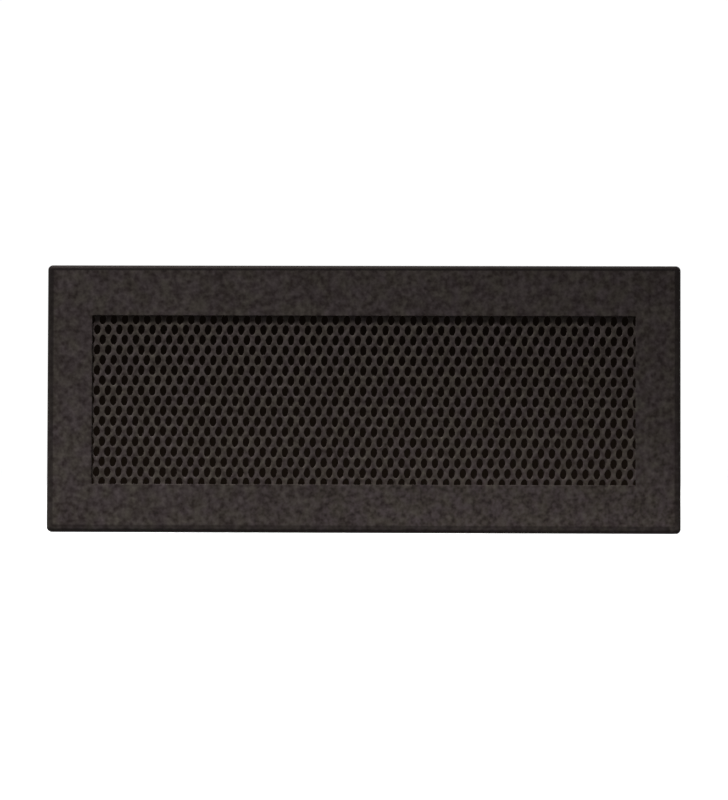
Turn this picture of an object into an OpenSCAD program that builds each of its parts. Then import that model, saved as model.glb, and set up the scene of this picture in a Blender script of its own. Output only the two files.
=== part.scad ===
// Fireplace vent grille: a folded sheet-steel frame with an expanded-metal panel behind
// its window, and a folded collar with leaf springs that holds it in the wall opening.
// X runs to the right as seen from the front, Z runs up, and the front faces -Y.
// The origin is the middle of the frame's rear edge, in the plane of the wall.

/* [Front frame] */
// Width of the frame, seen from the front
face_w = 380; // [320:5:460]
// Height of the frame, seen from the front
face_h = 160.4; // [140:0.1:220]
// Thickness of the frame's sheet
sheet_t = 1.2; // [0.8:0.1:1.6]
// Depth of the frame from its front face to the wall
frame_depth = 8; // [7:0.5:14]
// Outer radius of the fold round the face
fold_r = 2.4; // [1.8:0.1:3.6]
// How much larger than the fold the corners are rounded, seen from the front
corner_ease = 0.5; // [0.3:0.1:3]

/* [Window] */
// Border left and right of the window
side_border = 27; // [22:0.5:34]
// Border above the window
top_border = 30.2; // [22:0.1:34]
// Border below the window
bottom_border = 28.9; // [22:0.1:34]

/* [Expanded metal panel] */
// Thickness of the panel
mesh_t = 1; // [0.8:0.1:1.5]
// Distance between openings that stand side by side
mesh_pitch_x = 6.67; // [6:0.01:8]
// Distance between openings that stand one above the other
mesh_pitch_z = 12.216; // [11:0.001:15]
// Width of one opening
opening_w = 4.5; // [3.6:0.1:5]
// Height of one opening
opening_h = 7.3; // [6:0.1:8.4]
// How far the pattern's middle row lies below the window's middle
mesh_drop = 1; // [0:0.05:3]
// Lean of the rows against the frame, in degrees
mesh_lean = 0.14; // [0:0.02:0.4]
// Least height or width of an opening that still shows past the window's edge
least_shown = 1; // [0.4:0.1:1.5]
// How far the panel's edge lies inside the collar's flange
mesh_inset = 1; // [0.5:0.5:3]

/* [Rear collar] */
// Thickness of the collar's sheet
collar_t = 1; // [0.8:0.1:1.5]
// Step from the window's edge out to the collar's inner wall
collar_step = 3.5; // [0.5:0.5:4]
// Width of the flange outside the collar's wall
flange_w = 9; // [7:0.5:11]
// How far the collar reaches into the wall
collar_reach = 24; // [22:1:40]
// Inner radius of the fold between the flange and the wall of the collar
collar_fold_r = 0.8; // [0.4:0.1:1.5]
// Outer radius of the collar's upright corners
collar_corner_r = 2.5; // [2:0.1:5]

/* [Spring clips] */
// Thickness of the spring strip
spring_t = 0.6; // [0.4:0.1:0.9]
// Width of the spring strip
spring_w = 12; // [9:0.5:16]
// Height between the two clips on one side
spring_spacing = 56; // [30:1:64]
// Length of the flat foot that is riveted to the collar
foot_len = 8; // [7.5:0.5:9]
// Distance from the collar's rear edge to the foot
foot_setback = 1; // [0.5:0.5:3]
// Inner radius of each bend in the strip
spring_bend_r = 1.2; // [0.8:0.1:1.6]
// Angle at which the strip rises from its foot
rise_angle = 35; // [25:1:40]
// Length of the rising stretch
rise_len = 8; // [6:0.5:9]
// Angle at which the strip comes back behind its crest
fall_angle = 40; // [30:1:50]
// Length of the falling stretch
fall_len = 4; // [3:0.5:5]

/* [Rivets] */
// Diameter of the rivet's shank
rivet_d = 3.2; // [2.4:0.1:4]
// Clearance round the shank in its hole
rivet_clearance = 0.05; // [0.02:0.01:0.1]
// Diameter of the rivet's head
rivet_head_d = 6.2; // [5:0.1:7]
// Height of the rivet's head
rivet_head_h = 1.3; // [0.8:0.1:1.8]
// Diameter of the closed end inside the collar
rivet_tail_d = 4.8; // [4.4:0.1:5.4]
// Height of the closed end inside the collar
rivet_tail_h = 1.2; // [0.8:0.1:1.6]

/* [Hidden] */
$fn = 48;

graphite = [0.20, 0.19, 0.18];
spring_steel = [0.55, 0.55, 0.56];
aluminium = [0.75, 0.75, 0.76];

// Front face, back of the face sheet, and back of the panel, along Y
face_y = -frame_depth;
mesh_y = face_y + sheet_t;
flange_y = mesh_y + mesh_t;

// Window
window_w = face_w - 2 * side_border;
window_h = face_h - top_border - bottom_border;
window_z = (bottom_border - top_border) / 2;
corner_r = fold_r + corner_ease;

// Collar, measured round the outside of its wall
collar_w = window_w + 2 * (collar_step + collar_t);
collar_h = window_h + 2 * (collar_step + collar_t);
flange_outer_w = collar_w + 2 * flange_w;
flange_outer_h = collar_h + 2 * flange_w;
hole_r = rivet_d / 2 + rivet_clearance;
rivet_y = collar_reach - foot_setback - foot_len / 2;

// A rectangle with round corners, lying in the XY plane about the origin
module round_rect(w, h, r) {
    square([w - 2 * r, h], center = true);
    square([w, h - 2 * r], center = true);
    for (x = [-1, 1], y = [-1, 1])
        translate([x * (w / 2 - r), y * (h / 2 - r)]) circle(r);
}

// Stands a drawing of the front view up in the XZ plane and gives it its thickness from Y = y on
module sheet(y, t) {
    translate([0, y + t, 0]) rotate([90, 0, 0]) linear_extrude(t) children();
}

// Carries a section round a rectangle with round corners. In the section, X is the
// distance outside the rectangle's outline and Y is the depth.
module rim(w, h, r) {
    for (turn = [0 : 90 : 270]) {
        across = turn % 180 == 0 ? w : h;
        along = turn % 180 == 0 ? h : w;
        rotate([0, -turn, 0]) translate([across / 2, 0, 0]) {
            linear_extrude(along - 2 * r, center = true) children();
            translate([-r, 0, r - along / 2])
                rotate([-90, 0, 0]) rotate_extrude(angle = 90) translate([r, 0]) children();
        }
    }
}

// A quarter of a ring about the origin, in the quadrant of +X and -Y
module quarter_ring(inner_r, outer_r) {
    intersection() {
        difference() {
            circle(outer_r);
            circle(inner_r);
        }
        translate([0, -outer_r]) square(outer_r);
    }
}

// The fold round the face and the return that stands on the wall
module return_section() {
    translate([-fold_r, face_y + fold_r]) quarter_ring(fold_r - sheet_t, fold_r);
    translate([-sheet_t, face_y + fold_r]) square([sheet_t, frame_depth - fold_r]);
}

module front_frame() {
    color(graphite) {
        sheet(face_y, sheet_t) difference() {
            round_rect(face_w - 2 * fold_r, face_h - 2 * fold_r, corner_ease);
            translate([0, window_z]) square([window_w, window_h], center = true);
        }
        rim(face_w, face_h, corner_r) return_section();
    }
}

// One opening: an upright diamond between four strands
module opening() {
    polygon([[opening_w / 2, 0], [0, opening_h / 2], [-opening_w / 2, 0], [0, -opening_h / 2]]);
}

// Rows half a pitch apart, each shifted half a pitch against the next. Only openings that
// show in the window are cut, and the margin under the flange stays plain.
module mesh_openings() {
    half_x = mesh_pitch_x / 2;
    half_z = mesh_pitch_z / 2;
    reach_x = (window_w + opening_w) / 2 - least_shown;
    reach_z = (window_h + opening_h) / 2 - least_shown;
    columns = ceil(reach_x / half_x);
    rows = ceil((reach_z + mesh_drop) / half_z);
    rotate(-mesh_lean)
        for (row = [-rows : rows], column = [-columns : columns])
            let (x = column * half_x, z = row * half_z - mesh_drop)
                if ((row + column) % 2 != 0 && abs(x) < reach_x && abs(z) < reach_z)
                    translate([x, z]) opening();
}

module mesh_panel() {
    color(graphite)
        translate([0, 0, window_z]) sheet(mesh_y, mesh_t) difference() {
            square([flange_outer_w - 2 * mesh_inset, flange_outer_h - 2 * mesh_inset], center = true);
            mesh_openings();
        }
}

// The collar's wall, its fold and the flange that clamps the panel
module collar_section() {
    outer_r = collar_fold_r + collar_t;
    translate([collar_fold_r, flange_y + outer_r]) mirror([1, 0]) quarter_ring(collar_fold_r, outer_r);
    translate([collar_fold_r, flange_y]) square([flange_w - collar_fold_r, collar_t]);
    translate([-collar_t, flange_y + outer_r]) square([collar_t, collar_reach - flange_y - outer_r]);
}

module rear_collar() {
    color(graphite) difference() {
        translate([0, 0, window_z]) rim(collar_w, collar_h, collar_corner_r) collar_section();
        at_clips() translate([-collar_t * 1.5, rivet_y, 0])
            rotate([0, 90, 0]) cylinder(h = collar_t * 2, r = hole_r);
    }
}

// Puts a piece on the outer face of the collar's wall: X points away from the wall,
// and the piece's origin lies in the plane of the building's wall
module at_clip(side, level) {
    translate([side * collar_w / 2, 0, window_z + level * spring_spacing / 2])
        if (side > 0) children();
        else mirror([1, 0, 0]) children();
}

module at_clips() {
    for (side = [-1, 1], level = [-1, 1]) at_clip(side, level) children();
}

// Unit vectors along a heading in degrees and to its left
function ahead(heading) = [cos(heading), sin(heading)];
function left_of(heading) = [-sin(heading), cos(heading)];

// Stations round a bend of the strip's middle line. A station is a point and its heading.
function bend(from, turn) =
    let (
        r = sign(turn) * (spring_bend_r + spring_t / 2),
        centre = from[0] + r * left_of(from[1]),
        count = ceil(abs(turn) * $fn / 360)
    )
    [for (k = [1 : 1 : count]) let (heading = from[1] + turn * k / count) [centre - r * left_of(heading), heading]];

// Stations along the strip. Each step is a straight length and the turn at its end,
// and a turn above zero bends the strip to its left.
function stations(steps, from, done = 0) =
    done == len(steps) ? [from] :
    let (
        run_end = [from[0] + steps[done][0] * ahead(from[1]), from[1]],
        path = [from, run_end, each bend(run_end, steps[done][1])]
    )
    concat([for (k = [0 : len(path) - 2]) path[k]], stations(steps, path[len(path) - 1], done + 1));

// The strip's edge, which starts at the origin and runs along +X with the strip above it
module bent_strip(steps) {
    line = stations(steps, [[0, spring_t / 2], 0]);
    polygon(concat(
        [for (k = [0 : len(line) - 1]) line[k][0] + spring_t / 2 * left_of(line[k][1])],
        [for (k = [len(line) - 1 : -1 : 0]) line[k][0] - spring_t / 2 * left_of(line[k][1])]
    ));
}

// A leaf spring: a foot riveted to the collar, a rise to the crest that presses on the
// side of the wall opening, and a short fall to the free end
module spring_clip() {
    color(spring_steel) difference() {
        translate([0, collar_reach - foot_setback, 0]) rotate(-90)
            linear_extrude(spring_w, center = true)
                bent_strip([[foot_len, rise_angle], [rise_len, -rise_angle - fall_angle], [fall_len, 0]]);
        translate([-spring_t / 2, rivet_y, 0]) rotate([0, 90, 0]) cylinder(h = 2 * spring_t, r = hole_r);
    }
}

// Half of the rivet's section: X is the radius and Y runs from the collar's inner wall outwards
module rivet_section() {
    grip = collar_t + spring_t;
    head_r = rivet_head_d / 2;
    dome_r = (head_r * head_r + rivet_head_h * rivet_head_h) / (2 * rivet_head_h);
    tail_r = rivet_tail_d / 2;
    tail_bevel = rivet_tail_h / 3;
    square([rivet_d / 2, grip]);
    translate([0, grip]) intersection() {
        translate([0, rivet_head_h - dome_r]) circle(dome_r);
        square([head_r, rivet_head_h]);
    }
    polygon([
        [0, 0], [tail_r, 0], [tail_r, tail_bevel - rivet_tail_h],
        [tail_r - tail_bevel, -rivet_tail_h], [0, -rivet_tail_h]
    ]);
}

module clip_rivets() {
    color(aluminium) at_clips() translate([-collar_t, rivet_y, 0])
        rotate([0, 90, 0]) rotate_extrude() rivet_section();
}

front_frame();
mesh_panel();
rear_collar();
at_clip(-1, 1) spring_clip();  // clip_left_upper
at_clip(-1, -1) spring_clip();  // clip_left_lower
at_clip(1, 1) spring_clip();  // clip_right_upper
at_clip(1, -1) spring_clip();  // clip_right_lower
clip_rivets();
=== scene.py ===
# Fireplace vent grille: folded frame, expanded metal panel, rear collar with spring clips.
# Metres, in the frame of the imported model: X right, Z up, the front faces -Y.
import math

import bmesh
import bpy
from mathutils import Matrix, Vector, noise


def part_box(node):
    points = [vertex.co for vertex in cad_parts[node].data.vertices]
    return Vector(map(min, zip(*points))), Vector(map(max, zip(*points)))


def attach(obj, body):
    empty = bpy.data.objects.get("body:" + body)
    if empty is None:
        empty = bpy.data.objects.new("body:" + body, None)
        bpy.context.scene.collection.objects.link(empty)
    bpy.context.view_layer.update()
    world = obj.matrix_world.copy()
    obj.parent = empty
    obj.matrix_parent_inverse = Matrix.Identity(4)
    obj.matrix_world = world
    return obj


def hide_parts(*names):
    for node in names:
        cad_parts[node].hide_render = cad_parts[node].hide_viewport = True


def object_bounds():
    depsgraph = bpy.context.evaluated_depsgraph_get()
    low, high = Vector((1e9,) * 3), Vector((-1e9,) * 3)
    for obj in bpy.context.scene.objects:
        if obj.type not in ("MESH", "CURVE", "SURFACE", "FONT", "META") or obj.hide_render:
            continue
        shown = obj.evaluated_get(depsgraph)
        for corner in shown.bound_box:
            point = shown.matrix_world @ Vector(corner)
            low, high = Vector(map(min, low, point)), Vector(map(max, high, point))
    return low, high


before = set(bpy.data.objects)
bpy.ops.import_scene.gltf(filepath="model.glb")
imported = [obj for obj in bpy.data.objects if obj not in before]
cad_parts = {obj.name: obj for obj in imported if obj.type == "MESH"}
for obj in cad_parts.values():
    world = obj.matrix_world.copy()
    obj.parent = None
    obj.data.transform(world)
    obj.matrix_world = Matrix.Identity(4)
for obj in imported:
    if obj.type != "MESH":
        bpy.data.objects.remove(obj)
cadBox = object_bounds()
mm = 0.001
near = 0.01 * mm        # how close counts as the same place
onCut = 0.0001 * mm     # how close counts as lying on a cut, or a thin strand would not close
facing = 0.9            # a face looks along an axis if its normal comes this close to it


# Selecting and editing, as by hand

def activate(obj):
    bpy.ops.object.select_all(action="DESELECT")
    obj.select_set(True)
    bpy.context.view_layer.objects.active = obj


def startEdit(obj, kind):
    activate(obj)
    bpy.ops.object.mode_set(mode="EDIT")
    bpy.ops.mesh.select_mode(type=kind)
    bpy.ops.mesh.select_all(action="DESELECT")


def endEdit():
    bpy.ops.object.mode_set(mode="OBJECT")


def pick(obj, parts, test):
    cage = bmesh.from_edit_mesh(obj.data)
    for part in getattr(cage, parts):
        part.select_set(test(part))
    bmesh.update_edit_mesh(obj.data)


def cut(place, normal, **options):
    bpy.ops.mesh.select_all(action="SELECT")
    bpy.ops.mesh.bisect(plane_co=place, plane_no=normal, threshold=onCut, **options)
    bpy.ops.mesh.select_all(action="DESELECT")


def addModifier(obj, kind, **values):
    activate(obj)
    modifier = obj.modifiers.new(kind.lower(), kind)
    for name, value in values.items():
        setattr(modifier, name, value)
    bpy.ops.object.modifier_apply(modifier=modifier.name)


def namePiece(obj, name):
    obj.name = name
    obj.data.name = name
    return obj


# Camera, where the photograph was taken from

cameraSetup = {
    "place": (21.7 * mm, -1304.6 * mm, -27.9 * mm),
    "yaw": -0.939,      # degrees, to the right
    "pitch": 1.209,     # degrees, upwards
    "roll": 0.164,      # degrees
    "lens": 97.43,      # millimetres
    "clip": (0.05, 50), # metres
}


def makeCamera(setup):
    data = bpy.data.cameras.new("photoCamera")
    cam = bpy.data.objects.new("photoCamera", data)
    bpy.context.scene.collection.objects.link(cam)
    data.lens = setup["lens"]
    data.clip_start, data.clip_end = setup["clip"]
    turn = Matrix.Rotation(math.radians(-setup["yaw"]), 4, "Z")
    turn = turn @ Matrix.Rotation(math.radians(90 + setup["pitch"]), 4, "X")
    turn = turn @ Matrix.Rotation(math.radians(setup["roll"]), 4, "Z")
    cam.matrix_world = Matrix.Translation(Vector(setup["place"])) @ turn
    bpy.context.scene.camera = cam


makeCamera(cameraSetup)
print("camera in place")


# Shader helpers

def addNode(tree, kind, place, **values):
    node = tree.nodes.new(kind)
    node.location = place
    for name, value in values.items():
        if hasattr(node, name):
            setattr(node, name, value)
        else:
            node.inputs[name.replace("_", " ")].default_value = value
    return node


def addRange(tree, place, before, after):
    return addNode(tree, "ShaderNodeMapRange", place, From_Min=before[0], From_Max=before[1],
                   To_Min=after[0], To_Max=after[1])


def newGroup(name, sockets):
    group = bpy.data.node_groups.new(name, "ShaderNodeTree")
    for socketName, side, kind in sockets:
        group.interface.new_socket(socketName, in_out=side, socket_type=kind)
    return group


def newMaterial(name):
    material = bpy.data.materials.new(name)
    material.use_nodes = True
    tree = material.node_tree
    shader = tree.nodes["Principled BSDF"]
    return material, tree, shader


def emptyMaterial(name):
    material, tree = newMaterial(name)[:2]
    tree.nodes.clear()
    return material, tree


def setMaterial(obj, material):
    obj.data.materials.clear()
    obj.data.materials.append(material)


# Powder coat: dark, with patches a few millimetres wide, fine light flecks and a slow change of hue

coatSetup = {
    "hueScale": 105,                # scales are per metre
    "hueRange": (0.36, 0.64),       # from warm to cool
    "patchScale": 330,
    "patchRange": (0.3, 0.7),       # from dark to light
    "patchTint": (0.93, 1, 1.01),   # red changes less than the rest, so the dark patches are brown
    "darkest": 0.25,                # share of the coat's own colour that the darkest patch keeps
    "grainScale": 2200,
    "fleckRange": (0.55, 0.75),     # only the peaks of the grain are flecks
    "grainHeight": 0.6,             # 1 is the height of the patches
    "bumpDepth": 0.1 * mm,
    "roughness": 0.7,
    "specular": 0.2,
    "specularTint": (1, 0.81, 0.77, 1),
}
coats = {
    "graphiteCoat": {
        "warm": (0.0341, 0.0285, 0.0241),
        "cool": (0.0336, 0.0262, 0.0266),
        "contrast": 0.65,
        "flecks": 0.25,
        "bump": 0.45,
    },
    # Painted light: the mesh has the same coat as the frame, and this copy is made lighter so the strands
    # render lighter
    "graphiteCoatMeshLit": {
        "warm": (0.0416, 0.0350, 0.0288),
        "cool": (0.0410, 0.0326, 0.0314),
        "contrast": 0.5,
        "flecks": 0.25,
        "bump": 0.4,
    },
    "graphiteCoatRear": {
        "warm": (0.0341, 0.0285, 0.0241),
        "cool": (0.0336, 0.0262, 0.0266),
        "contrast": 0.5,
        "flecks": 0.25,
        "bump": 0.4,
    },
}


def makeCoatGroup():
    group = newGroup("speckledCoat", (
        ("Warm", "INPUT", "NodeSocketColor"),
        ("Cool", "INPUT", "NodeSocketColor"),
        ("Contrast", "INPUT", "NodeSocketFloat"),
        ("Flecks", "INPUT", "NodeSocketFloat"),
        ("Color", "OUTPUT", "NodeSocketColor"),
        ("Height", "OUTPUT", "NodeSocketFloat"),
    ))
    source = addNode(group, "NodeGroupInput", (-900, 0))
    sink = addNode(group, "NodeGroupOutput", (900, 0))
    place = addNode(group, "ShaderNodeTexCoord", (-900, -300))

    hue = addNode(group, "ShaderNodeTexNoise", (-650, 300), Scale=coatSetup["hueScale"], Detail=1.0,
                  Roughness=0.5)
    patches = addNode(group, "ShaderNodeTexNoise", (-650, 50), Scale=coatSetup["patchScale"], Detail=1.5,
                      Roughness=0.5)
    grain = addNode(group, "ShaderNodeTexNoise", (-650, -200), Scale=coatSetup["grainScale"], Detail=2.0,
                    Roughness=0.6)
    for texture in (hue, patches, grain):
        group.links.new(place.outputs["Object"], texture.inputs["Vector"])

    hueRange = addRange(group, (-420, 300), coatSetup["hueRange"], (0, 1))
    group.links.new(hue.outputs["Fac"], hueRange.inputs["Value"])
    tone = addNode(group, "ShaderNodeMix", (-180, 300), data_type="RGBA")
    group.links.new(hueRange.outputs["Result"], tone.inputs["Factor"])
    group.links.new(source.outputs["Warm"], tone.inputs["A"])
    group.links.new(source.outputs["Cool"], tone.inputs["B"])

    spread = addRange(group, (-420, 50), coatSetup["patchRange"], (-1, 1))
    spread.clamp = False
    group.links.new(patches.outputs["Fac"], spread.inputs["Value"])
    amount = addNode(group, "ShaderNodeMath", (-220, 50), operation="MULTIPLY")
    group.links.new(spread.outputs["Result"], amount.inputs[0])
    group.links.new(source.outputs["Contrast"], amount.inputs[1])
    shade = addNode(group, "ShaderNodeVectorMath", (-50, 50), operation="MULTIPLY_ADD")
    group.links.new(amount.outputs[0], shade.inputs[0])
    shade.inputs[1].default_value = coatSetup["patchTint"]
    shade.inputs[2].default_value = (1, 1, 1)
    darkest = addNode(group, "ShaderNodeVectorMath", (100, 50), operation="MAXIMUM")
    group.links.new(shade.outputs["Vector"], darkest.inputs[0])
    darkest.inputs[1].default_value = [coatSetup["darkest"]] * 3

    sparkle = addRange(group, (-420, -200), coatSetup["fleckRange"], (0, 1))
    group.links.new(grain.outputs["Fac"], sparkle.inputs["Value"])
    flecks = addNode(group, "ShaderNodeMath", (-50, -200), operation="MULTIPLY")
    group.links.new(sparkle.outputs["Result"], flecks.inputs[0])
    group.links.new(source.outputs["Flecks"], flecks.inputs[1])
    lighter = addNode(group, "ShaderNodeVectorMath", (250, 0), operation="ADD")
    group.links.new(darkest.outputs["Vector"], lighter.inputs[0])
    group.links.new(flecks.outputs[0], lighter.inputs[1])

    color = addNode(group, "ShaderNodeVectorMath", (420, 200), operation="MULTIPLY")
    group.links.new(tone.outputs["Result"], color.inputs[0])
    group.links.new(lighter.outputs["Vector"], color.inputs[1])
    group.links.new(color.outputs["Vector"], sink.inputs["Color"])

    height = addNode(group, "ShaderNodeMath", (400, -100), operation="MULTIPLY_ADD")
    group.links.new(grain.outputs["Fac"], height.inputs[0])
    height.inputs[1].default_value = coatSetup["grainHeight"]
    group.links.new(patches.outputs["Fac"], height.inputs[2])
    group.links.new(height.outputs[0], sink.inputs["Height"])
    return group


coatGroup = makeCoatGroup()


def makeCoat(name):
    look = coats[name]
    material, tree, shader = newMaterial(name)
    coat = addNode(tree, "ShaderNodeGroup", (-500, 100), node_tree=coatGroup)
    coat.inputs["Warm"].default_value = (*look["warm"], 1)
    coat.inputs["Cool"].default_value = (*look["cool"], 1)
    coat.inputs["Contrast"].default_value = look["contrast"]
    coat.inputs["Flecks"].default_value = look["flecks"]
    relief = addNode(tree, "ShaderNodeBump", (-250, -200), Strength=look["bump"],
                     Distance=coatSetup["bumpDepth"])
    tree.links.new(coat.outputs["Height"], relief.inputs["Height"])
    tree.links.new(relief.outputs["Normal"], shader.inputs["Normal"])
    tree.links.new(coat.outputs["Color"], shader.inputs["Base Color"])
    shader.inputs["Roughness"].default_value = coatSetup["roughness"]
    shader.inputs["Specular IOR Level"].default_value = coatSetup["specular"]
    shader.inputs["Specular Tint"].default_value = coatSetup["specularTint"]
    return material


frameCoat = makeCoat("graphiteCoat")
meshCoat = makeCoat("graphiteCoatMeshLit")
rearCoat = makeCoat("graphiteCoatRear")


# Bare metal: fine scratches along the strip, and dull blotches from handling

metalSetup = {
    "scratchScale": 3500,
    "scratches": 0.9,               # share of them in the dullness
    "blotchScale": 220,
    "blotchRange": (0.35, 0.65),    # from clean to dull
    "bump": 0.3,
    "bumpDepth": 0.02 * mm,
}
metals = {
    "springSteel": {
        "bright": (0.47, 0.47, 0.48),
        "dull": (0.34, 0.34, 0.35),
        "smooth": 0.26,
        "rough": 0.44,
        "stretch": (0.06, 0.06, 1),     # long in X and Y, as the strips run
    },
    "rivetMetal": {
        "bright": (0.66, 0.66, 0.67),
        "dull": (0.54, 0.54, 0.55),
        "smooth": 0.3,
        "rough": 0.5,
        "stretch": (1, 1, 1),           # in no one direction
    },
}


def makeMetalGroup():
    group = newGroup("metalGrain", (
        ("Bright", "INPUT", "NodeSocketColor"),
        ("Dull", "INPUT", "NodeSocketColor"),
        ("Smooth", "INPUT", "NodeSocketFloat"),
        ("Rough", "INPUT", "NodeSocketFloat"),
        ("Stretch", "INPUT", "NodeSocketVector"),
        ("Color", "OUTPUT", "NodeSocketColor"),
        ("Roughness", "OUTPUT", "NodeSocketFloat"),
        ("Height", "OUTPUT", "NodeSocketFloat"),
    ))
    source = addNode(group, "NodeGroupInput", (-900, 0))
    sink = addNode(group, "NodeGroupOutput", (600, 0))
    place = addNode(group, "ShaderNodeTexCoord", (-900, -250))
    along = addNode(group, "ShaderNodeMapping", (-650, -250))
    group.links.new(place.outputs["Object"], along.inputs["Vector"])
    group.links.new(source.outputs["Stretch"], along.inputs["Scale"])
    scratches = addNode(group, "ShaderNodeTexNoise", (-420, -250), Scale=metalSetup["scratchScale"],
                        Detail=2.0, Roughness=0.6)
    group.links.new(along.outputs["Vector"], scratches.inputs["Vector"])
    blotches = addNode(group, "ShaderNodeTexNoise", (-420, 50), Scale=metalSetup["blotchScale"],
                       Detail=3.0, Roughness=0.6)
    group.links.new(place.outputs["Object"], blotches.inputs["Vector"])
    worn = addRange(group, (-180, 50), metalSetup["blotchRange"], (0, 1))
    group.links.new(blotches.outputs["Fac"], worn.inputs["Value"])

    marks = addNode(group, "ShaderNodeMath", (20, -100), operation="MULTIPLY_ADD")
    marks.use_clamp = True
    group.links.new(scratches.outputs["Fac"], marks.inputs[0])
    marks.inputs[1].default_value = metalSetup["scratches"]
    group.links.new(worn.outputs["Result"], marks.inputs[2])
    color = addNode(group, "ShaderNodeMix", (250, 150), data_type="RGBA")
    group.links.new(marks.outputs[0], color.inputs["Factor"])
    group.links.new(source.outputs["Bright"], color.inputs["A"])
    group.links.new(source.outputs["Dull"], color.inputs["B"])
    group.links.new(color.outputs["Result"], sink.inputs["Color"])
    gloss = addNode(group, "ShaderNodeMix", (250, -100), data_type="FLOAT")
    group.links.new(marks.outputs[0], gloss.inputs["Factor"])
    group.links.new(source.outputs["Smooth"], gloss.inputs["A"])
    group.links.new(source.outputs["Rough"], gloss.inputs["B"])
    group.links.new(gloss.outputs["Result"], sink.inputs["Roughness"])
    group.links.new(scratches.outputs["Fac"], sink.inputs["Height"])
    return group


metalGroup = makeMetalGroup()


def makeMetal(name):
    look = metals[name]
    material, tree, shader = newMaterial(name)
    metal = addNode(tree, "ShaderNodeGroup", (-500, 100), node_tree=metalGroup)
    metal.inputs["Bright"].default_value = (*look["bright"], 1)
    metal.inputs["Dull"].default_value = (*look["dull"], 1)
    metal.inputs["Smooth"].default_value = look["smooth"]
    metal.inputs["Rough"].default_value = look["rough"]
    metal.inputs["Stretch"].default_value = look["stretch"]
    relief = addNode(tree, "ShaderNodeBump", (-250, -200), Strength=metalSetup["bump"],
                     Distance=metalSetup["bumpDepth"])
    tree.links.new(metal.outputs["Height"], relief.inputs["Height"])
    tree.links.new(relief.outputs["Normal"], shader.inputs["Normal"])
    tree.links.new(metal.outputs["Color"], shader.inputs["Base Color"])
    tree.links.new(metal.outputs["Roughness"], shader.inputs["Roughness"])
    shader.inputs["Metallic"].default_value = 1
    return material


springSteel = makeMetal("springSteel")
rivetMetal = makeMetal("rivetMetal")
print("materials made")


# Front frame: a folded sheet with a plain-cut window

frontFrame = {
    "sheet": 1.2 * mm,
    "fold": 2.4 * mm,           # outer radius of the fold
    "corner": 2.9 * mm,         # corner radius, seen from the front
    "sideBorder": 27 * mm,
    "topBorder": 30.2 * mm,
    "bottomBorder": 28.9 * mm,
    "segments": 7,              # of the fold and of a corner
    "cutEdge": 0.15 * mm,       # ease of every cut edge
    "cutSegments": 2,
    "sharpFrom": 50,            # degrees from which an edge counts as sharp, to be folded or eased
    "smoothTo": 35,             # degrees between faces that are shaded as one
    "foldShadeFull": 3.3 * mm,       # painted shade: the fold is fully darkened as far in as this
    "foldShadeEnd": 4.3 * mm,      # and has its own colour from here
    "foldShadeRise": 0.7 * mm,       # less far in at the top, and further in at the bottom
    "foldShadeTopTone": 0.15,        # share of the coat's colour that the painted shade leaves at the top, less than at the bottom because the lamps light the top fold most
    "foldShadeBottomTone": 0.48,
}


def windowBox():
    low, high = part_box("front_frame")
    left = low.x + frontFrame["sideBorder"]
    right = high.x - frontFrame["sideBorder"]
    bottom = low.z + frontFrame["bottomBorder"]
    top = high.z - frontFrame["topBorder"]
    return left, right, bottom, top


# Painted shade: darkens the coat's colour along the outer fold, most at the top, where the lamps would
# light the fold
def paintFoldShade(material, low, high):
    tree = material.node_tree
    shader = tree.nodes["Principled BSDF"]
    place = addNode(tree, "ShaderNodeTexCoord", (-1500, 500))
    parts = addNode(tree, "ShaderNodeSeparateXYZ", (-1300, 500))
    tree.links.new(place.outputs["Object"], parts.inputs["Vector"])

    # How far in from the nearer side, and from the nearer of the top and the bottom
    inward = []
    for axis, reach, rise, y in (("X", high.x, 0, 600), ("Z", high.z, frontFrame["foldShadeRise"], 400)):
        lowered = addNode(tree, "ShaderNodeMath", (-1250, y), operation="SUBTRACT")
        tree.links.new(parts.outputs[axis], lowered.inputs[0])
        lowered.inputs[1].default_value = rise
        outward = addNode(tree, "ShaderNodeMath", (-1100, y), operation="ABSOLUTE")
        tree.links.new(lowered.outputs[0], outward.inputs[0])
        depth = addNode(tree, "ShaderNodeMath", (-900, y), operation="SUBTRACT")
        depth.inputs[0].default_value = reach
        tree.links.new(outward.outputs[0], depth.inputs[1])
        inward.append(depth)
    nearest = addNode(tree, "ShaderNodeMath", (-700, 500), operation="MINIMUM")
    tree.links.new(inward[0].outputs[0], nearest.inputs[0])
    tree.links.new(inward[1].outputs[0], nearest.inputs[1])

    tone = addRange(tree, (-700, 250), (low.z, high.z),
                    (frontFrame["foldShadeBottomTone"], frontFrame["foldShadeTopTone"]))
    tree.links.new(parts.outputs["Z"], tone.inputs["Value"])
    shade = addRange(tree, (-480, 450), (frontFrame["foldShadeFull"], frontFrame["foldShadeEnd"]), (0, 1))
    shade.interpolation_type = "SMOOTHSTEP"
    tree.links.new(nearest.outputs[0], shade.inputs["Value"])
    tree.links.new(tone.outputs["Result"], shade.inputs["To Min"])
    coat = shader.inputs["Base Color"].links[0].from_socket
    darker = addNode(tree, "ShaderNodeVectorMath", (-250, 250), operation="SCALE")
    tree.links.new(coat, darker.inputs["Vector"])
    tree.links.new(shade.outputs["Result"], darker.inputs["Scale"])
    tree.links.new(darker.outputs["Vector"], shader.inputs["Base Color"])


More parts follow.
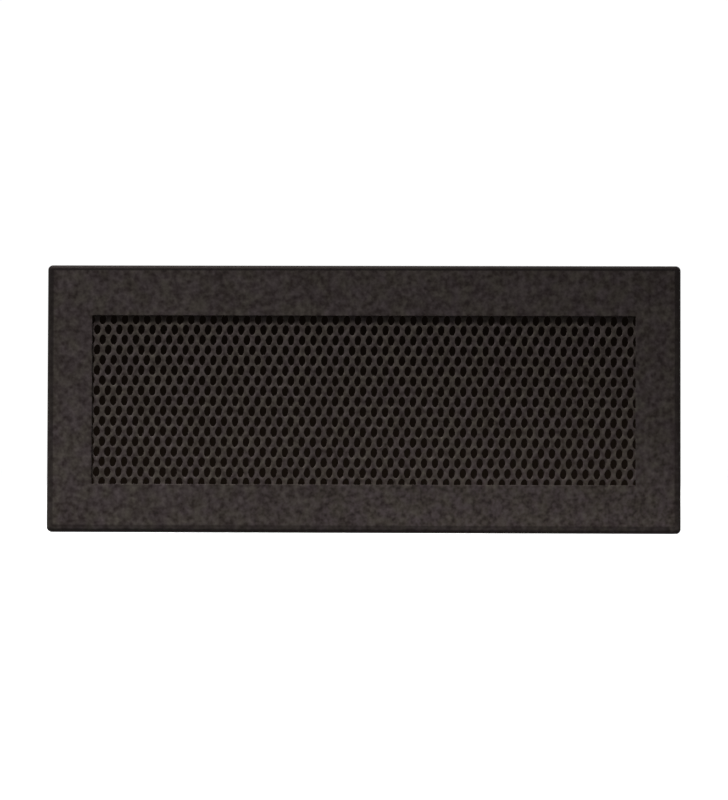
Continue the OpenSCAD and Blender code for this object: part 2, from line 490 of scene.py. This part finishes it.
def makeFrontFrame():
    low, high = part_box("front_frame")
    left, right, bottom, top = windowBox()
    sharp = math.radians(frontFrame["sharpFrom"])
    bpy.ops.mesh.primitive_cube_add(size=1, location=(low + high) / 2, scale=high - low)
    obj = namePiece(bpy.context.object, "frontFrame")
    bpy.ops.object.transform_apply(location=True, rotation=True, scale=True)

    startEdit(obj, "FACE")
    cut((left, 0, 0), (1, 0, 0))
    cut((right, 0, 0), (1, 0, 0))
    cut((0, 0, bottom), (0, 0, 1))
    cut((0, 0, top), (0, 0, 1))

    def inWindow(face):
        middle = face.calc_center_median()
        return face.normal.y < -facing and left < middle.x < right and bottom < middle.z < top

    pick(obj, "faces", lambda face: face.normal.y > facing or inWindow(face))
    bpy.ops.mesh.delete(type="FACE")

    def atCorner(vert):
        return abs(abs(vert.co.x) - high.x) < near and abs(abs(vert.co.z) - high.z) < near

    bpy.ops.mesh.select_mode(type="EDGE")
    pick(obj, "edges", lambda edge: all(atCorner(vert) for vert in edge.verts))
    bpy.ops.mesh.bevel(offset=frontFrame["corner"], segments=frontFrame["segments"], affect="EDGES")

    def onFrontOutline(edge):
        atFront = all(abs(vert.co.y - low.y) < near for vert in edge.verts)
        return atFront and len(edge.link_faces) == 2 and edge.calc_face_angle(0) > sharp

    bpy.ops.mesh.select_all(action="DESELECT")
    pick(obj, "edges", onFrontOutline)
    bpy.ops.mesh.bevel(offset=frontFrame["fold"], segments=frontFrame["segments"], affect="EDGES")
    endEdit()

    addModifier(obj, "SOLIDIFY", thickness=frontFrame["sheet"], offset=-1, use_even_offset=True)
    addModifier(obj, "BEVEL", width=frontFrame["cutEdge"], segments=frontFrame["cutSegments"],
                limit_method="ANGLE", angle_limit=sharp)
    activate(obj)
    bpy.ops.object.shade_smooth_by_angle(angle=math.radians(frontFrame["smoothTo"]))
    addModifier(obj, "WEIGHTED_NORMAL", keep_sharp=True)
    paintFoldShade(frameCoat, low, high)
    setMaterial(obj, frameCoat)
    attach(obj, "root")
    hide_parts("front_frame")
    print("front frame:", len(obj.data.polygons), "faces")


makeFrontFrame()


# Expanded metal panel: one opening with its half strands, repeated in staggered rows

meshPanel = {
    "pitchX": 6.67 * mm,
    "pitchZ": 12.216 * mm,
    "shift": -0.15 * mm,        # middle column to the right of the window's middle
    "drop": 1.0 * mm,           # middle row below the window's middle
    "lean": 0.14,               # degrees, clockwise from the front
    "openingW": 3.9 * mm,
    "openingH": 6.1 * mm,
    "shape": 1.9,               # 1 is a diamond and 2 an ellipse
    "tilt": 0.05,               # how far an opening leans to the right, per unit of height
    "points": 12,               # round an opening, a multiple of 4
    "strandT": 0.6 * mm,
    "turn": -0.15,              # slope of each strand from its left edge to its right
    "ease": 0.22 * mm,          # rounding of the opening's front edge
    "backEase": 0.4,            # share of it by which the opening widens again at the back
    "unevenness": 0.2 * mm,     # of the slitting
    "unevenCell": 2.1 * mm,     # how far apart it changes
    "seed": 5,                  # any but 0, which takes the time of day
    "spare": 3,                 # repeats made beyond the panel's width and height
    "smoothTo": 50,             # degrees between faces that are shaded as one
}


# A ring is its shape, tilt, half width, half height and depth. Its points go by their angle.

def ringPoint(angle, ring):
    shape, tilt, halfW, halfH, depth = ring
    across = halfW * math.copysign(abs(math.cos(angle)) ** (2 / shape), math.cos(angle))
    up = halfH * math.copysign(abs(math.sin(angle)) ** (2 / shape), math.sin(angle))
    return Vector((across + tilt * up, depth, up))


def ringAngle(point, ring):
    shape, tilt, halfW, halfH = ring[:4]
    upright = point.x - tilt * point.z
    across = math.copysign((abs(upright) / halfW) ** (shape / 2), upright)
    up = math.copysign((abs(point.z) / halfH) ** (shape / 2), point.z)
    return math.atan2(up, across)


def meshRings():
    ease = meshPanel["ease"]
    backEase = meshPanel["backEase"] * ease
    hole = (meshPanel["shape"], meshPanel["tilt"])
    halfW = meshPanel["openingW"] / 2
    halfH = meshPanel["openingH"] / 2
    low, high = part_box("mesh_panel")
    front = (low.y + high.y - meshPanel["strandT"]) / 2
    back = front + meshPanel["strandT"]
    cell = (1, 0, meshPanel["pitchX"] / 2, meshPanel["pitchZ"] / 2)
    return [
        (*cell, front),
        (*hole, halfW + ease, halfH + ease, front),
        (*hole, halfW, halfH, front + ease),
        (*hole, halfW + backEase, halfH + backEase, back),
        (*cell, back),
    ]


def makeOpening():
    rings = meshRings()
    radius = meshPanel["pitchX"] / 2
    bpy.ops.mesh.primitive_circle_add(vertices=meshPanel["points"], radius=radius,
                                      rotation=(math.radians(90), 0, 0))
    obj = namePiece(bpy.context.object, "meshPanel")
    bpy.ops.object.transform_apply(location=True, rotation=True, scale=True)
    startEdit(obj, "EDGE")
    bpy.ops.mesh.select_all(action="SELECT")
    last = (2, 0, radius, radius, 0)    # the circle

    # Each ring is drawn out of the last one, and the strand is then turned about its middle
    for ring in rings:
        if ring is not rings[0]:
            bpy.ops.mesh.extrude_edges_move()
        cage = bmesh.from_edit_mesh(obj.data)
        for vert in cage.verts:
            if vert.select:
                angle = ringAngle(vert.co, last)
                vert.co = ringPoint(angle, ring)
                strandMiddle = ringPoint(angle, rings[0]).x
                vert.co.y -= meshPanel["turn"] * (strandMiddle - vert.co.x)
        bmesh.update_edit_mesh(obj.data)
        last = ring
    endEdit()
    return obj


def makeMeshPanel():
    low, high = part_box("mesh_panel")
    left, right, bottom, top = windowBox()
    middle = Vector(((left + right) / 2, 0, (bottom + top) / 2))
    pitchX = meshPanel["pitchX"]
    pitchZ = meshPanel["pitchZ"]
    obj = makeOpening()

    # The second opening of the repeat, half a pitch up and to the right
    startEdit(obj, "VERT")
    bpy.ops.mesh.select_all(action="SELECT")
    bpy.ops.mesh.duplicate()
    bpy.ops.transform.translate(value=(pitchX / 2, 0, pitchZ / 2))
    endEdit()

    columns = math.ceil((high.x - low.x) / pitchX) + meshPanel["spare"]
    rows = math.ceil((high.z - low.z) / pitchZ) + meshPanel["spare"]
    for count, step in ((columns, (pitchX, 0, 0)), (rows, (0, 0, pitchZ))):
        addModifier(obj, "ARRAY", count=count, use_relative_offset=False, use_constant_offset=True,
                    constant_offset_displace=step, use_merge_vertices=True, merge_threshold=near)

    # An opening stands half a repeat above the middle row, in line with the window's middle
    startEdit(obj, "VERT")
    bpy.ops.mesh.select_all(action="SELECT")
    bpy.ops.transform.translate(value=(
        middle.x + meshPanel["shift"] - columns // 2 * pitchX,
        0,
        middle.z - meshPanel["drop"] + pitchZ / 2 - rows // 2 * pitchZ,
    ))
    bpy.ops.mesh.remove_doubles(threshold=near)
    bpy.ops.mesh.normals_make_consistent(inside=False)
    endEdit()

    noise.seed_set(meshPanel["seed"])
    for vert in obj.data.vertices:
        drift = noise.noise_vector(vert.co / meshPanel["unevenCell"])
        vert.co.x += meshPanel["unevenness"] * drift.x
        vert.co.z += meshPanel["unevenness"] * drift.z
    lean = Matrix.Rotation(math.radians(meshPanel["lean"]), 4, "Y")
    obj.data.transform(Matrix.Translation(middle) @ lean @ Matrix.Translation(-middle))

    startEdit(obj, "FACE")
    for place, normal in (
        ((low.x, 0, 0), (-1, 0, 0)),
        ((high.x, 0, 0), (1, 0, 0)),
        ((0, 0, low.z), (0, 0, -1)),
        ((0, 0, high.z), (0, 0, 1)),
    ):
        cut(place, normal, use_fill=True, clear_outer=True)
    endEdit()
    activate(obj)
    bpy.ops.object.shade_smooth_by_angle(angle=math.radians(meshPanel["smoothTo"]))
    addModifier(obj, "WEIGHTED_NORMAL", keep_sharp=True)    # the strands are flat between their edges
    setMaterial(obj, meshCoat)
    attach(obj, "root")
    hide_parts("mesh_panel")
    triangles = sum(len(face.vertices) - 2 for face in obj.data.polygons)
    print("mesh panel:", columns, "x", rows, "repeats,", triangles, "triangles")


makeMeshPanel()


# Collar, clips and rivets keep their solids

setMaterial(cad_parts["rear_collar"], rearCoat)
for name in ("clip_left_upper", "clip_left_lower", "clip_right_upper", "clip_right_lower"):
    setMaterial(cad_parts[name], springSteel)
setMaterial(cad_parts["clip_rivets"], rivetMetal)
print("rear pieces dressed")


# Stage: pale floor, white background, and behind the mesh a card of painted duct shade that glows faintly
# as painted light

stageSetup = {
    "floorGap": 0.3 * mm,       # under the object
    "floorSize": 6.0,
    "floorColor": (0.5, 0.5, 0.5, 1),
    "floorGlow": 0.9,           # what the camera sees without the lamps
    "collarGap": 3.5 * mm,      # from the window's edge out to the collar's inner face
    "ductOverlap": 0.5 * mm,    # into the collar's wall
    "ductY": 2 * mm,
    "ductGlowColor": (1, 0.68, 0.48, 1),
    "ductGlowTop": 0.0025,          # painted light: the card glows more lower down, where the light through the mesh falls
    "ductGlowBottom": 0.0070,
}


# The rays that show the white surroundings: the camera's, and those of gloss and glass

def seenRays(tree, place):
    rays = addNode(tree, "ShaderNodeLightPath", place)
    first = addNode(tree, "ShaderNodeMath", (place[0] + 200, place[1]), operation="MAXIMUM")
    both = addNode(tree, "ShaderNodeMath", (place[0] + 400, place[1]), operation="MAXIMUM")
    tree.links.new(rays.outputs["Is Camera Ray"], first.inputs[0])
    tree.links.new(rays.outputs["Is Glossy Ray"], first.inputs[1])
    tree.links.new(first.outputs[0], both.inputs[0])
    tree.links.new(rays.outputs["Is Transmission Ray"], both.inputs[1])
    return rays, both


def makeFloor():
    level = cadBox[0].z - stageSetup["floorGap"]
    bpy.ops.mesh.primitive_plane_add(size=stageSetup["floorSize"], location=(0, 0, level))
    floor = namePiece(bpy.context.object, "paleFloor")
    material, tree = emptyMaterial("paleFloor")
    out = addNode(tree, "ShaderNodeOutputMaterial", (900, 0))
    rays, seen = seenRays(tree, (-300, 200))
    strength = addNode(tree, "ShaderNodeMath", (200, 250), operation="MULTIPLY")
    strength.inputs[1].default_value = stageSetup["floorGlow"]
    tree.links.new(seen.outputs[0], strength.inputs[0])
    glow = addNode(tree, "ShaderNodeEmission", (400, 100))
    tree.links.new(strength.outputs[0], glow.inputs["Strength"])
    # What the lamps light there shows to the camera, and sends no light up to the object
    color = addNode(tree, "ShaderNodeMix", (200, -150), data_type="RGBA")
    color.inputs["A"].default_value = (0, 0, 0, 1)
    color.inputs["B"].default_value = stageSetup["floorColor"]
    tree.links.new(rays.outputs["Is Camera Ray"], color.inputs["Factor"])
    lit = addNode(tree, "ShaderNodeBsdfDiffuse", (400, -150))
    tree.links.new(color.outputs["Result"], lit.inputs["Color"])
    both = addNode(tree, "ShaderNodeAddShader", (650, 0))
    tree.links.new(lit.outputs[0], both.inputs[0])
    tree.links.new(glow.outputs[0], both.inputs[1])
    tree.links.new(both.outputs[0], out.inputs["Surface"])
    setMaterial(floor, material)


# Painted shade of the duct, a dark card that glows faintly, seen from the front only: from behind, the mesh
# shows the room

def makePaintedDuctShade():
    left, right, bottom, top = windowBox()
    margin = stageSetup["collarGap"] + stageSetup["ductOverlap"]
    size = Vector((right - left + 2 * margin, top - bottom + 2 * margin, 1))
    bpy.ops.mesh.primitive_plane_add(size=1, rotation=(math.radians(90), 0, 0),
                                     location=((left + right) / 2, stageSetup["ductY"], (bottom + top) / 2))
    card = namePiece(bpy.context.object, "paintedDuctShade")
    card.scale = size
    bpy.ops.object.transform_apply(location=True, rotation=True, scale=True)
    material, tree = emptyMaterial("paintedDuctShade")
    out = addNode(tree, "ShaderNodeOutputMaterial", (700, 0))
    seen = seenRays(tree, (-600, 200))[1]
    side = addNode(tree, "ShaderNodeNewGeometry", (-300, -200))
    fromFront = addNode(tree, "ShaderNodeMath", (-50, 0), operation="SUBTRACT")
    fromFront.use_clamp = True
    tree.links.new(seen.outputs[0], fromFront.inputs[0])
    tree.links.new(side.outputs["Backfacing"], fromFront.inputs[1])
    clear = addNode(tree, "ShaderNodeBsdfTransparent", (150, 150))
    place = addNode(tree, "ShaderNodeTexCoord", (-600, -450))
    parts = addNode(tree, "ShaderNodeSeparateXYZ", (-400, -450))
    tree.links.new(place.outputs["Object"], parts.inputs["Vector"])
    glow = addRange(tree, (-150, -350), (bottom, top), (stageSetup["ductGlowBottom"], stageSetup["ductGlowTop"]))
    tree.links.new(parts.outputs["Z"], glow.inputs["Value"])
    dark = addNode(tree, "ShaderNodeEmission", (150, -100), Color=stageSetup["ductGlowColor"])
    tree.links.new(glow.outputs["Result"], dark.inputs["Strength"])
    choose = addNode(tree, "ShaderNodeMixShader", (400, 0))
    tree.links.new(fromFront.outputs[0], choose.inputs["Fac"])
    tree.links.new(clear.outputs[0], choose.inputs[1])
    tree.links.new(dark.outputs[0], choose.inputs[2])
    tree.links.new(choose.outputs[0], out.inputs["Surface"])
    setMaterial(card, material)


makeFloor()
makePaintedDuctShade()
print("stage made")


# Light: a soft lamp up in front on the left, a second that lifts the lower right, and one behind

lampSetup = {   # place and aim are points, power is in watts and cone in degrees
    "front": {"kind": "SPOT", "place": (-0.5, -0.9, 1.05), "aim": (0.471, -0.032, -1), "power": 2720,
              "size": 0.2, "cone": 19.2},
    "top": {"kind": "SPOT", "place": (-0.384, -0.55, 1.3), "aim": (-0.322, -4.151, -1), "power": 9544,
            "size": 0.2, "cone": 164},
    "rear": {"kind": "AREA", "place": (0.5, 1.1, 0.8), "aim": (0, 0, 0), "power": 14, "size": 0.8},
}
worldSetup = {
    "ambient": 0.22,            # light on the object
    "white": 1.03,              # what the camera sees
    "frontGloss": 0.05,         # what gloss sees in front of the object
    "frontEdge": (-0.9, -0.1),  # where that goes over into white
}


def makeLamp(name, setup):
    data = bpy.data.lights.new(name + "Lamp", setup["kind"])
    data.energy = setup["power"]
    if setup["kind"] == "SPOT":
        data.shadow_soft_size = setup["size"]
        data.spot_size = math.radians(setup["cone"])
        data.spot_blend = 1
    else:
        data.size = setup["size"]
    lamp = bpy.data.objects.new(name + "Lamp", data)
    lamp.visible_camera = False
    bpy.context.scene.collection.objects.link(lamp)
    lamp.location = setup["place"]
    way = Vector(setup["aim"]) - Vector(setup["place"])
    lamp.rotation_euler = way.to_track_quat("-Z", "Y").to_euler()


def makeWorld():
    world = bpy.data.worlds.new("whiteStudio")
    bpy.context.scene.world = world
    world.use_nodes = True
    tree = world.node_tree
    tree.nodes.clear()
    out = addNode(tree, "ShaderNodeOutputWorld", (900, 0))
    rays, seen = seenRays(tree, (-500, 300))
    place = addNode(tree, "ShaderNodeTexCoord", (-500, -100))
    parts = addNode(tree, "ShaderNodeSeparateXYZ", (-300, -100))
    tree.links.new(place.outputs["Generated"], parts.inputs["Vector"])
    gloss = addRange(tree, (-100, -100), worldSetup["frontEdge"], (worldSetup["frontGloss"], 1))
    tree.links.new(parts.outputs["Y"], gloss.inputs["Value"])
    white = addNode(tree, "ShaderNodeMix", (100, -100), data_type="FLOAT")
    tree.links.new(rays.outputs["Is Glossy Ray"], white.inputs["Factor"])
    white.inputs["A"].default_value = worldSetup["white"]
    tree.links.new(gloss.outputs["Result"], white.inputs["B"])
    level = addNode(tree, "ShaderNodeMix", (350, 0), data_type="FLOAT")
    tree.links.new(seen.outputs[0], level.inputs["Factor"])
    level.inputs["A"].default_value = worldSetup["ambient"]
    tree.links.new(white.outputs["Result"], level.inputs["B"])
    light = addNode(tree, "ShaderNodeBackground", (600, 0), Color=(1, 1, 1, 1))
    tree.links.new(level.outputs["Result"], light.inputs["Strength"])
    tree.links.new(light.outputs[0], out.inputs["Surface"])


for lampName, setup in lampSetup.items():
    makeLamp(lampName, setup)
makeWorld()
bpy.context.scene.view_settings.view_transform = "Standard"
print("light made")
